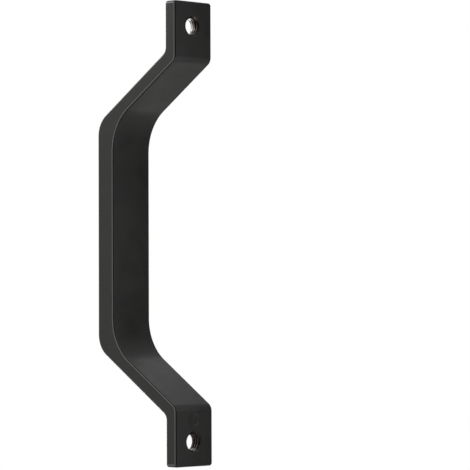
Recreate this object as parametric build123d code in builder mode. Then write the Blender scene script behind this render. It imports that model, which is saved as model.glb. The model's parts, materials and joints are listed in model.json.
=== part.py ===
from build123d import *

import os
from math import radians, sin, tan

# Barn door pull handle: one solid metal bar with two flat feet, two sloping legs and a thicker grip.
# Sizes are in millimetres. The origin is the midpoint between the two screw holes, on the plane of the door.
# +Z runs up the bar, +X across its width and +Y into the door, so the grip stands off at -Y.

# Feet: each one runs from its screw hole out to the end of the bar, and in to the heel of the leg
hole_spacing = 205.5
hole_to_end = 12.25
hole_to_heel = 17.25
bar_width = 25.4

# Side view: how far the grip stands off the door, and how far the legs lean away from the length of the bar
projection = 56.0
leg_angle = 56.0

# Thickness of each stretch, square to its own face: the grip is the thickest
foot_thickness = 7.0
leg_thickness = 7.5
grip_thickness = 11.2

# Bends, from the door outwards: heel and palm face the door, instep and knuckle face the room
heel_radius = 4.5
palm_radius = 25.0
instep_radius = 4.5
knuckle_radius = 12.5

# Soft edge all round, and the corners of the feet, which are a little rounder than that edge
edge_radius = 0.9
foot_corner_radius = edge_radius + 0.6

# Screw holes, tapped for a 3/8 inch thread, open right through the foot, with a small chamfer at both rims
thread_diameter = 9.525
rim_chamfer = 0.15

# Shallow round mark that the casting tool leaves on the door side of the lower foot, with soft edges
mark_diameter = 7.0
mark_depth = 0.3
mark_wall = 1.0
mark_edge_radius = 1.5
mark_to_hole = 10.8

# Where the straight lines of the side view would meet, before the bends are rounded
finger_depth = projection - grip_thickness
half_length = hole_spacing / 2 + hole_to_end
heel_height = hole_spacing / 2 - hole_to_heel
leg_rise_per_depth = 1 / tan(radians(leg_angle))
leg_height_through = leg_thickness / sin(radians(leg_angle))


def door_side(depth):
    """Height of the door side of the upper leg, at this depth in front of the door."""
    return heel_height - depth * leg_rise_per_depth


def room_side(depth):
    """Height of the room side of the upper leg, at this depth in front of the door."""
    return door_side(depth) + leg_height_through


heel = (0, door_side(0))
palm = (-finger_depth, door_side(finger_depth))
knuckle = (-projection, room_side(projection))
instep = (-foot_thickness, room_side(foot_thickness))
foot_end_at_door = (0, half_length)
foot_end_at_room = (-foot_thickness, half_length)

with BuildPart() as pull_handle:
    # Upper half of the side view, mirrored to the lower half, in the middle plane of the bar
    with BuildSketch(Plane.YZ):
        with BuildLine():
            FilletPolyline((-finger_depth, 0), palm, heel, foot_end_at_door, radius=[palm_radius, heel_radius])
            Line(foot_end_at_door, foot_end_at_room)
            FilletPolyline(
                foot_end_at_room, instep, knuckle, (-projection, 0), radius=[instep_radius, knuckle_radius]
            )
            mirror(about=Plane.XZ)
        make_face()
    extrude(amount=bar_width / 2, both=True)

    # Corners of the feet, seen from the front
    fillet(edges().filter_by(Axis.Y), foot_corner_radius)

    # One soft edge round both sides, which runs on round the ends of the feet
    fillet(faces().filter_by(Axis.X).edges(), edge_radius)

    # Screw holes, bored from the door side
    door_plane = Plane(origin=(0, 0, 0), x_dir=(1, 0, 0), z_dir=(0, 1, 0))
    with Locations(door_plane):
        with Locations((0, hole_spacing / 2), (0, -hole_spacing / 2)):
            Hole(radius=thread_diameter / 2, depth=foot_thickness)
    chamfer(edges(Select.LAST).filter_by(GeomType.CIRCLE), rim_chamfer)

    # Casting mark, between the lower hole and the heel: the door plane counts heights downwards
    with Locations(door_plane):
        with Locations((0, hole_spacing / 2 - mark_to_hole)):
            Cone(
                bottom_radius=mark_diameter / 2 - mark_wall,
                top_radius=mark_diameter / 2,
                height=mark_depth,
                align=(Align.CENTER, Align.CENTER, Align.MAX),
                mode=Mode.SUBTRACT,
            )
    fillet(edges(Select.LAST).filter_by(GeomType.CIRCLE), mark_edge_radius)

pull_handle.part.label = "pull_handle"

os.makedirs("parts", exist_ok=True)
export_step(pull_handle.part, "parts/pull_handle.step")
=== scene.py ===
import json
from math import cos, hypot, pi, radians, sin, tan, tau

import bmesh
import bpy
from mathutils import Matrix, Quaternion, Vector


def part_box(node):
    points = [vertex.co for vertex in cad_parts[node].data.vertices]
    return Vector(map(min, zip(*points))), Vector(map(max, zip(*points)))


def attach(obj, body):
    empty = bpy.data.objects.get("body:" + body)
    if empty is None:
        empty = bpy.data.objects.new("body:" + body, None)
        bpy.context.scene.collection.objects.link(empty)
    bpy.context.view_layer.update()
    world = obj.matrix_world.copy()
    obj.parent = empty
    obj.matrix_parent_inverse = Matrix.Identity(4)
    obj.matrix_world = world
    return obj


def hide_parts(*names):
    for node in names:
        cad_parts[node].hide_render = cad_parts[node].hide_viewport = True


# A barn door pull handle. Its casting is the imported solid, and the threads of its two holes are made here.
# Everything is in metres, in the frame of the solid: +Z up the bar, +X across it and +Y into the door.

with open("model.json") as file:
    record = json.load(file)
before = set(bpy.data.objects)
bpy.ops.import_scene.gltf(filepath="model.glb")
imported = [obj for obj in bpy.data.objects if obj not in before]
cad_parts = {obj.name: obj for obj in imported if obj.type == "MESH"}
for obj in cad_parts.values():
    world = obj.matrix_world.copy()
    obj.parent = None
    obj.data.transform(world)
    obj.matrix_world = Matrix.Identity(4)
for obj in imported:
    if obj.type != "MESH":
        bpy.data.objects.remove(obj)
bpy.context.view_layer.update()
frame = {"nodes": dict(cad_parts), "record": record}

MM = 0.001

# The bar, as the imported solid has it
low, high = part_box("pull_handle")
BAR_WIDTH = high.x - low.x
FOOT_THICKNESS = 7.0 * MM

# The screw holes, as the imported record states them
screw_holes = next(mount for mount in frame["record"]["mounts"] if mount["name"] == "screw_holes")
HOLE_RADIUS = screw_holes["dims"]["hole_r_mm"] * MM
HOLE_HEIGHT = screw_holes["dims"]["spacing_y_mm"] / 2 * MM

# The solid has a fine chamfer at each rim, and the skin made here opens it to the photograph's lead-in
SOLID_CHAMFER = 0.15 * MM
LEAD_IN = 0.55 * MM
RIM_TOLERANCE = 0.03 * MM
MERGE_DISTANCE = 0.001 * MM

# A 3/8 inch thread: 16 ridges to the inch, right-handed, with flanks at 60 degrees to each other.
# The ridge is seated a little way into the wall of its bore, and is wound past both ends before it is cut.
THREAD_PITCH = 25.4 / 16 * MM
THREAD_SEAT = 0.03 * MM
THREAD_FLANK_ANGLE = radians(60)
THREAD_CREST_RADIUS = 4.0 * MM
THREAD_ROOT_RADIUS = HOLE_RADIUS + THREAD_SEAT
THREAD_DEPTH = THREAD_ROOT_RADIUS - THREAD_CREST_RADIUS
THREAD_ROOT_WIDTH = THREAD_PITCH * 7 / 8
THREAD_CREST_WIDTH = THREAD_ROOT_WIDTH - 2 * THREAD_DEPTH * tan(THREAD_FLANK_ANGLE / 2)
THREAD_OVERRUN = THREAD_PITCH * 3 / 2
THREAD_STEPS_PER_TURN = 64
CUT_TOLERANCE = 0.0001 * MM

# The coat: colours of its patches, and sizes of its pebbles, of the slow waves under them and of the patches
DARK_COAT = (0.0076, 0.0077, 0.0073, 1)
PALE_COAT = (0.0100, 0.0096, 0.0086, 1)
PATCH_CONTRAST = (0.35, 0.65)
PEBBLE_SIZE = 0.45 * MM
WAVE_SIZE = 2.6 * MM
PATCH_SIZE = 12 * MM
WAVE_SHARE = 1.4
SKIN_HEIGHT = 0.02 * MM
COAT_ROUGHNESS = (0.36, 0.48)
COAT_SHINE = 0.26

# On the rounded long edges a narrow pale band is a painted highlight, and a broader band has a smoother coat.
# Each band starts just in from the sides of the bar, and fades out from its end to BAND_FADE times as far in.
BAND_START = 0.002 * MM
BAND_FULL = 0.004 * MM
BAND_FADE = 1.5
# Where the band of painted highlight ends, and where the band of smoother coat ends
PAINTED_HIGHLIGHT_END = 0.09 * MM
SMOOTH_BAND_END = 0.55 * MM
# The colour of the painted highlight along the rounded long edges
PAINTED_EDGE_HIGHLIGHT = (0.108, 0.104, 0.110, 1)
SMOOTH_BAND_SHARE = 0.55

# The metal of the threads is stained towards the door and worn bright towards the room, the lower one less
STAINED_METAL = (0.046, 0.0405, 0.037, 1)
BRIGHT_METAL = (0.50, 0.475, 0.45, 1)
STAIN_SIZE = 1.6 * MM
STAIN_SHARE = 0.5
WEAR_RANGE = (0.70, 0.86)
LOWER_THREAD_WEAR = -0.32
SCRATCH_SIZE = 0.25 * MM
SCRATCH_DEPTH = 0.01 * MM
METAL_ROUGHNESS = (0.24, 0.42)

# The stretch of a noise texture's values that most of them lie in
NOISE_RANGE = (0.3, 0.7)

# The camera stands on the door side of the bar, on the side of its +X face, and looks a little upwards.
# Its lens and its sensor are in millimetres, as Blender takes them.
CAMERA_AZIMUTH = radians(134.42)
CAMERA_ELEVATION = radians(-1.44)
CAMERA_ROLL = radians(-0.176)
CAMERA_DISTANCE = 1339.75 * MM
CAMERA_LENS = 209.06
CAMERA_SENSOR = 36.0
CAMERA_NEAREST = 50 * MM
CAMERA_FARTHEST = 50_000 * MM
AIM_RIGHT_OF_EDGE = 29.28 * MM
AIM_ABOVE_EDGE = -0.90 * MM

# The floor lies below the handle, which its door holds up, and fades into the white round it
WHITE = (1, 1, 1, 1)
FLOOR_HEIGHT = -300 * MM
FLOOR_RADIUS = 850 * MM
FLOOR_FADE_START = 450 * MM
FLOOR_SIDES = 128
FLOOR_COLOUR = (0.86, 0.86, 0.85, 1)
FLOOR_ROUGHNESS = 0.9
FLOOR_SHINE = 0.2

# The white world lights the surfaces a little less than it shows itself to the camera and in reflections
WORLD_LIGHT = 0.8
WORLD_SEEN = 1.0

# A square box lamp is this share of its distance wide
BOX_SHARE = 7 / 15

# The black of the cards that stand round the handle
CARD_COLOUR = (0.01, 0.01, 0.01, 1)

# A Mix node has sockets for every kind of value, and these are the ones for colours
MIX_COLOUR_INPUTS = (6, 7)
MIX_COLOUR_OUTPUT = 2


def new_material(name):
    """A material, its node tree and its Principled shader."""
    material = bpy.data.materials.new(name)
    material.use_nodes = True
    return material, material.node_tree, material.node_tree.nodes["Principled BSDF"]


def add_node(tree, kind, **settings):
    """A node of this kind, with its settings and the values of its inputs."""
    node = tree.nodes.new(kind)
    for name, value in settings.items():
        if hasattr(node, name):
            setattr(node, name, value)
        else:
            node.inputs[name.replace("_", " ")].default_value = value
    return node


def feed(tree, socket, value):
    """Gives an input a plain value, or links it to another node's output."""
    if isinstance(value, bpy.types.NodeSocket):
        tree.links.new(value, socket)
    else:
        socket.default_value = value


def maths(tree, operation, *values):
    """The result of one sum on outputs or plain numbers."""
    node = add_node(tree, "ShaderNodeMath", operation=operation)
    for socket, value in zip(node.inputs, values):
        feed(tree, socket, value)
    return node.outputs["Value"]


def noise(tree, position, size, detail=2.0):
    """Noise whose lumps are about this size, in metres."""
    node = add_node(tree, "ShaderNodeTexNoise", Scale=1 / size, Detail=detail)
    tree.links.new(position, node.inputs["Vector"])
    return node.outputs["Fac"]


def spread(tree, factor, low, high, new_low=0.0, new_high=1.0):
    """Stretches the part of a factor between low and high to the new range."""
    node = add_node(tree, "ShaderNodeMapRange", From_Min=low, From_Max=high, To_Min=new_low, To_Max=new_high)
    tree.links.new(factor, node.inputs["Value"])
    return node.outputs["Result"]


def blend_colours(tree, factor, first, second):
    """A mix of two colours, each a plain colour or another node's output."""
    node = add_node(tree, "ShaderNodeMix", data_type="RGBA")
    tree.links.new(factor, node.inputs["Factor"])
    for index, colour in zip(MIX_COLOUR_INPUTS, (first, second)):
        feed(tree, node.inputs[index], colour)
    return node.outputs[MIX_COLOUR_OUTPUT]


def raise_surface(tree, shader, relief, height):
    """Raises the surface of a shader by this relief, up to this height."""
    bump = add_node(tree, "ShaderNodeBump", Strength=1.0, Distance=height)
    tree.links.new(relief, bump.inputs["Height"])
    tree.links.new(bump.outputs["Normal"], shader.inputs["Normal"])


def object_position(tree):
    """Position on the piece, in metres."""
    return tree.nodes.new("ShaderNodeTexCoord").outputs["Object"]


def along_axes(tree, position):
    """The outputs X, Y and Z of a position."""
    split = tree.nodes.new("ShaderNodeSeparateXYZ")
    tree.links.new(position, split.inputs["Vector"])
    return split.outputs


def bore_mask(tree, position):
    """1 on the walls of the two holes, which are cut after coating, and 0 on the coat."""
    place = along_axes(tree, position)
    across = place["X"]
    height = maths(tree, "SUBTRACT", maths(tree, "ABSOLUTE", place["Z"]), HOLE_HEIGHT)
    height_squared = maths(tree, "MULTIPLY", height, height)
    across_squared = maths(tree, "MULTIPLY", across, across)
    distance = maths(tree, "SQRT", maths(tree, "ADD", height_squared, across_squared))
    return maths(tree, "LESS_THAN", distance, THREAD_ROOT_RADIUS)


def edge_band(tree, position, end):
    """1 on the rounded long edges of the bar, up to this distance in from its sides, and 0 elsewhere."""
    across = along_axes(tree, position)["X"]
    inward = maths(tree, "SUBTRACT", BAR_WIDTH / 2, maths(tree, "ABSOLUTE", across))
    begins = spread(tree, inward, BAND_START, BAND_FULL)
    ends = spread(tree, inward, end, end * BAND_FADE, 1.0, 0.0)
    return maths(tree, "MULTIPLY", begins, ends)


def powder_coat():
    """Satin black powder coat with its fine pebbled skin, a painted highlight along its rounded long edges,
    and stained metal where the holes were tapped.
    """
    material, tree, shader = new_material("powder_coat")
    position = object_position(tree)
    pebbles = noise(tree, position, PEBBLE_SIZE)
    waves = noise(tree, position, WAVE_SIZE, detail=1.0)
    patches = noise(tree, position, PATCH_SIZE, detail=3.0)
    bored = bore_mask(tree, position)

    coat = blend_colours(tree, spread(tree, patches, *PATCH_CONTRAST), DARK_COAT, PALE_COAT)
    # A narrow pale band along the rounded long edges is a painted highlight
    coat = blend_colours(tree, edge_band(tree, position, PAINTED_HIGHLIGHT_END), coat, PAINTED_EDGE_HIGHLIGHT)
    colour = blend_colours(tree, bored, coat, STAINED_METAL)
    tree.links.new(colour, shader.inputs["Base Color"])
    tree.links.new(bored, shader.inputs["Metallic"])

    rough = spread(tree, patches, *NOISE_RANGE, *COAT_ROUGHNESS)
    smoother = spread(tree, edge_band(tree, position, SMOOTH_BAND_END), 0.0, 1.0, 1.0, SMOOTH_BAND_SHARE)
    tree.links.new(maths(tree, "MULTIPLY", rough, smoother), shader.inputs["Roughness"])
    shader.inputs["Specular IOR Level"].default_value = COAT_SHINE

    skin = maths(tree, "ADD", pebbles, maths(tree, "MULTIPLY", waves, WAVE_SHARE))
    raise_surface(tree, shader, skin, SKIN_HEIGHT)
    return material


def cut_steel():
    """Metal of a thread: stained brown-black towards the door, and worn bright towards the room.

    The upper thread is bright over about half its depth, and the lower one only at its end.
    """
    material, tree, shader = new_material("cut_steel")
    position = object_position(tree)
    stain = noise(tree, position, STAIN_SIZE, detail=3.0)
    scratch = noise(tree, position, SCRATCH_SIZE)

    place = along_axes(tree, position)
    depth = spread(tree, place["Y"], 0.0, -FOOT_THICKNESS)
    lower = spread(tree, place["Z"], -HOLE_HEIGHT, HOLE_HEIGHT, LOWER_THREAD_WEAR, 0.0)
    stain_share = maths(tree, "MULTIPLY", stain, STAIN_SHARE)
    worn = maths(tree, "ADD", maths(tree, "ADD", depth, lower), stain_share)
    colour = blend_colours(tree, spread(tree, worn, *WEAR_RANGE), STAINED_METAL, BRIGHT_METAL)
    tree.links.new(colour, shader.inputs["Base Color"])
    shader.inputs["Metallic"].default_value = 1.0

    tree.links.new(spread(tree, scratch, *NOISE_RANGE, *METAL_ROUGHNESS), shader.inputs["Roughness"])
    raise_surface(tree, shader, scratch, SCRATCH_DEPTH)
    return material


def finish_mesh(name, shape, material, smooth=True):
    """Turns a bmesh into an object at the origin, with one material."""
    bmesh.ops.recalc_face_normals(shape, faces=shape.faces)
    mesh = bpy.data.meshes.new(name)
    shape.to_mesh(mesh)
    shape.free()
    mesh.materials.append(material)
    for face in mesh.polygons:
        face.use_smooth = smooth
    piece = bpy.data.objects.new(name, mesh)
    bpy.context.scene.collection.objects.link(piece)
    return piece


def open_rims(shape, height):
    """Opens the chamfers of the hole at this height to the full lead-in, with crisp edges."""
    rim_radius = HOLE_RADIUS + SOLID_CHAMFER
    reach = {vert: hypot(vert.co.x, vert.co.z - height) for vert in shape.verts}
    rims = [vert for vert in shape.verts if abs(reach[vert] - rim_radius) < RIM_TOLERANCE]
    throats = [vert for vert in shape.verts if reach[vert] < rim_radius - RIM_TOLERANCE]

    # The rims grow wider, and the throats move deeper by as much
    wider = (HOLE_RADIUS + LEAD_IN) / rim_radius
    to_axis = Matrix.Translation((0, 0, -height))
    bmesh.ops.scale(shape, verts=rims, vec=(wider, 1, wider), space=to_axis)
    for vert in throats:
        outward = 1 if vert.co.y > -FOOT_THICKNESS / 2 else -1
        vert.co.y -= outward * (LEAD_IN - SOLID_CHAMFER)

    for edge in shape.edges:
        if all(reach[vert] < rim_radius + RIM_TOLERANCE for vert in edge.verts):
            edge.smooth = False


def casting(material):
    """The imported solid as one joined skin, with the rims of its holes opened to the full lead-in."""
    shape = bmesh.new()
    shape.from_mesh(frame["nodes"]["pull_handle"].data)
    bmesh.ops.remove_doubles(shape, verts=shape.verts, dist=MERGE_DISTANCE)
    for height in (HOLE_HEIGHT, -HOLE_HEIGHT):
        open_rims(shape, height)
    piece = finish_mesh("casting", shape, material)
    normals = piece.modifiers.new("flat_faces_stay_flat", "WEIGHTED_NORMAL")
    normals.mode = "FACE_AREA"
    normals.keep_sharp = True
    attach(piece, "root")
    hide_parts("pull_handle")


def thread(name, height, material):
    """The ridge of a cut thread, wound down the bore whose axis is at this height."""
    shape = bmesh.new()
    corners = (
        (THREAD_ROOT_RADIUS, -THREAD_ROOT_WIDTH / 2),
        (THREAD_CREST_RADIUS, -THREAD_CREST_WIDTH / 2),
        (THREAD_CREST_RADIUS, THREAD_CREST_WIDTH / 2),
        (THREAD_ROOT_RADIUS, THREAD_ROOT_WIDTH / 2),
    )
    ridge = [shape.verts.new((radius, THREAD_OVERRUN + along, height)) for radius, along in corners]
    edges = [shape.edges.new((ridge[i - 1], ridge[i])) for i in range(len(ridge))]
    turns = (FOOT_THICKNESS + 2 * THREAD_OVERRUN) / THREAD_PITCH
    steps = round(turns * THREAD_STEPS_PER_TURN)
    bmesh.ops.spin(
        shape,
        geom=ridge + edges,
        cent=(0, 0, height),
        axis=(0, 1, 0),
        dvec=(0, -THREAD_PITCH / THREAD_STEPS_PER_TURN, 0),
        angle=-tau * steps / THREAD_STEPS_PER_TURN,
        steps=steps,
    )

    # Both ends stop where the lead-in does
    for face_depth, outward in ((-LEAD_IN, 1), (LEAD_IN - FOOT_THICKNESS, -1)):
        bmesh.ops.bisect_plane(
            shape,
            geom=shape.verts[:] + shape.edges[:] + shape.faces[:],
            dist=CUT_TOLERANCE,
            plane_co=(0, face_depth, height),
            plane_no=(0, outward, 0),
            clear_outer=True,
        )
    bmesh.ops.holes_fill(shape, edges=[edge for edge in shape.edges if edge.is_boundary], sides=0)

    # Near each face the ridge is cut back to the cone of the lead-in
    axis = Vector((0, 0, height))
    for vert in shape.verts:
        depth = min(-vert.co.y, FOOT_THICKNESS + vert.co.y)
        reach = Vector((vert.co.x, 0, vert.co.z)) - axis
        least = min(THREAD_ROOT_RADIUS, HOLE_RADIUS + LEAD_IN - depth)
        if reach.length < least:
            reach = reach.normalized() * least
            vert.co = Vector((reach.x, vert.co.y, reach.z + height))
    piece = finish_mesh(name, shape, material, smooth=False)
    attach(piece, "root")


def make_floor():
    """A pale disc that takes the handle's shadow and fades to white at its rim."""
    material, tree, shader = new_material("pale_floor")
    shader.inputs["Base Color"].default_value = FLOOR_COLOUR
    shader.inputs["Roughness"].default_value = FLOOR_ROUGHNESS
    shader.inputs["Specular IOR Level"].default_value = FLOOR_SHINE
    distance = add_node(tree, "ShaderNodeVectorMath", operation="LENGTH")
    tree.links.new(object_position(tree), distance.inputs["Vector"])
    fade = spread(tree, distance.outputs["Value"], FLOOR_FADE_START, FLOOR_RADIUS)
    glow = add_node(tree, "ShaderNodeEmission", Color=WHITE, Strength=1.0)
    mix = tree.nodes.new("ShaderNodeMixShader")
    factor, middle, rim = mix.inputs
    tree.links.new(fade, factor)
    tree.links.new(shader.outputs["BSDF"], middle)
    tree.links.new(glow.outputs["Emission"], rim)
    tree.links.new(mix.outputs["Shader"], tree.nodes["Material Output"].inputs["Surface"])

    shape = bmesh.new()
    bmesh.ops.create_circle(shape, cap_ends=True, segments=FLOOR_SIDES, radius=FLOOR_RADIUS)
    bmesh.ops.translate(shape, verts=shape.verts, vec=(0, 0, FLOOR_HEIGHT))
    floor = finish_mesh("floor", shape, material)


def soft_box(name, towards, distance, width, height, radiance, colour=(1, 1, 1)):
    """A lamp in this direction from the handle, turned to face it, with its height up the handle."""
    direction = Vector(towards).normalized()
    data = bpy.data.lights.new(name, "AREA")
    data.shape = "RECTANGLE"
    data.size = width
    data.size_y = height
    data.energy = radiance * pi * width * height
    data.color = colour
    lamp = bpy.data.objects.new(name, data)
    lamp.location = direction * distance
    lamp.rotation_mode = "QUATERNION"
    lamp.rotation_quaternion = direction.to_track_quat("Z", "Y")
    lamp.visible_camera = False
    bpy.context.scene.collection.objects.link(lamp)


def square_box(name, towards, distance, radiance, colour=(1, 1, 1)):
    """A square lamp that looks equally large from the handle at any distance."""
    side = distance * BOX_SHARE
    soft_box(name, towards, distance, side, side, radiance, colour)


def dark_card(name, towards, distance, width, height):
    """A black card that keeps white off the faces that point its way, as in a product studio."""
    material, tree, shader = new_material(name)
    shader.inputs["Base Color"].default_value = CARD_COLOUR
    shader.inputs["Roughness"].default_value = 1.0
    shader.inputs["Specular IOR Level"].default_value = 0.0
    direction = Vector(towards).normalized()

    # A square with sides of 1, stretched to the card's size and turned to face the handle
    shape = bmesh.new()
    bmesh.ops.create_grid(shape, x_segments=1, y_segments=1, size=0.5)
    bmesh.ops.scale(shape, verts=shape.verts, vec=(width, height, 1))
    turn = direction.to_track_quat("-Z", "Y")
    bmesh.ops.rotate(shape, verts=shape.verts, matrix=turn.to_matrix())
    bmesh.ops.translate(shape, verts=shape.verts, vec=direction * distance)
    card = finish_mesh(name, shape, material)
    card.visible_camera = False
    card.visible_shadow = False


def make_world():
    """White round the handle, with a softer level of light from it on the surfaces."""
    world = bpy.data.worlds.new("studio")
    bpy.context.scene.world = world
    world.use_nodes = True
    tree = world.node_tree
    background = tree.nodes["Background"]
    background.inputs["Color"].default_value = WHITE
    path = tree.nodes.new("ShaderNodeLightPath")
    seen = maths(tree, "ADD", path.outputs["Is Camera Ray"], path.outputs["Is Glossy Ray"])
    seen = maths(tree, "ADD", seen, path.outputs["Is Transmission Ray"])
    seen = maths(tree, "MINIMUM", seen, 1.0)
    tree.links.new(spread(tree, seen, 0.0, 1.0, WORLD_LIGHT, WORLD_SEEN), background.inputs["Strength"])


def make_camera():
    """The camera of the photograph, aimed from the edge between the bar's side and its door side."""
    edge = Vector((high.x, 0.0, 0.0))
    back = Vector((
        sin(CAMERA_AZIMUTH) * cos(CAMERA_ELEVATION),
        -cos(CAMERA_AZIMUTH) * cos(CAMERA_ELEVATION),
        sin(CAMERA_ELEVATION),
    ))
    turn = (-back).to_track_quat("-Z", "Y") @ Quaternion((0, 0, 1), CAMERA_ROLL)
    right = turn @ Vector((1, 0, 0))
    up = turn @ Vector((0, 1, 0))
    data = bpy.data.cameras.new("camera")
    data.lens = CAMERA_LENS
    data.sensor_width = CAMERA_SENSOR
    data.clip_start = CAMERA_NEAREST
    data.clip_end = CAMERA_FARTHEST
    camera = bpy.data.objects.new("camera", data)
    camera.rotation_mode = "QUATERNION"
    camera.rotation_quaternion = turn
    camera.location = edge + right * AIM_RIGHT_OF_EDGE + up * AIM_ABOVE_EDGE + back * CAMERA_DISTANCE
    bpy.context.scene.collection.objects.link(camera)
    bpy.context.scene.camera = camera


make_camera()

casting(powder_coat())
steel = cut_steel()
thread("upper_thread", HOLE_HEIGHT, steel)
thread("lower_thread", -HOLE_HEIGHT, steel)

make_world()
make_floor()

# Strips stand upright close round the handle, on its door side, its far side and its room side
DOOR_SIDE = (-0.5, 0.87, 0.0)
soft_box("strip_door_side", towards=DOOR_SIDE, distance=0.1, width=0.04, height=0.3, radiance=1.75)
soft_box("strip_at_grip", towards=DOOR_SIDE, distance=0.09, width=0.04, height=0.12, radiance=2.2)
soft_box("strip_far_side", towards=(-1.0, 0.0, 0.0), distance=0.16, width=0.06, height=0.3, radiance=0.4)
soft_box("strip_behind", towards=(-0.5, -0.87, 0.0), distance=0.16, width=0.06, height=0.3, radiance=4.5)

# Boxes stand farther out, above it and below it, and the key lights its near side
square_box("box_far_above", towards=(-0.64, -0.52, 0.57), distance=0.45, radiance=1.3)
square_box("box_far_below", towards=(-0.71, -0.41, -0.57), distance=0.36, radiance=0.5)
square_box("box_above", towards=(-0.37, -0.21, 0.91), distance=0.6, radiance=1.4)
square_box("box_room_side_above", towards=(0.41, -0.71, 0.57), distance=0.6, radiance=4.0)
square_box("key", towards=(0.92, -0.38, 0.0), distance=0.6, radiance=1.3, colour=(1.0, 0.96, 0.6))

# Cards keep the white world off the door side and the far side
dark_card("card_on_door_side", towards=(-0.2, 1.0, 0.0), distance=0.5, width=1.2, height=1.0)
dark_card("card_on_far_side", towards=(-1.0, -0.2, 0.0), distance=0.5, width=0.75, height=1.0)

bpy.context.scene.view_settings.view_transform = "Standard"
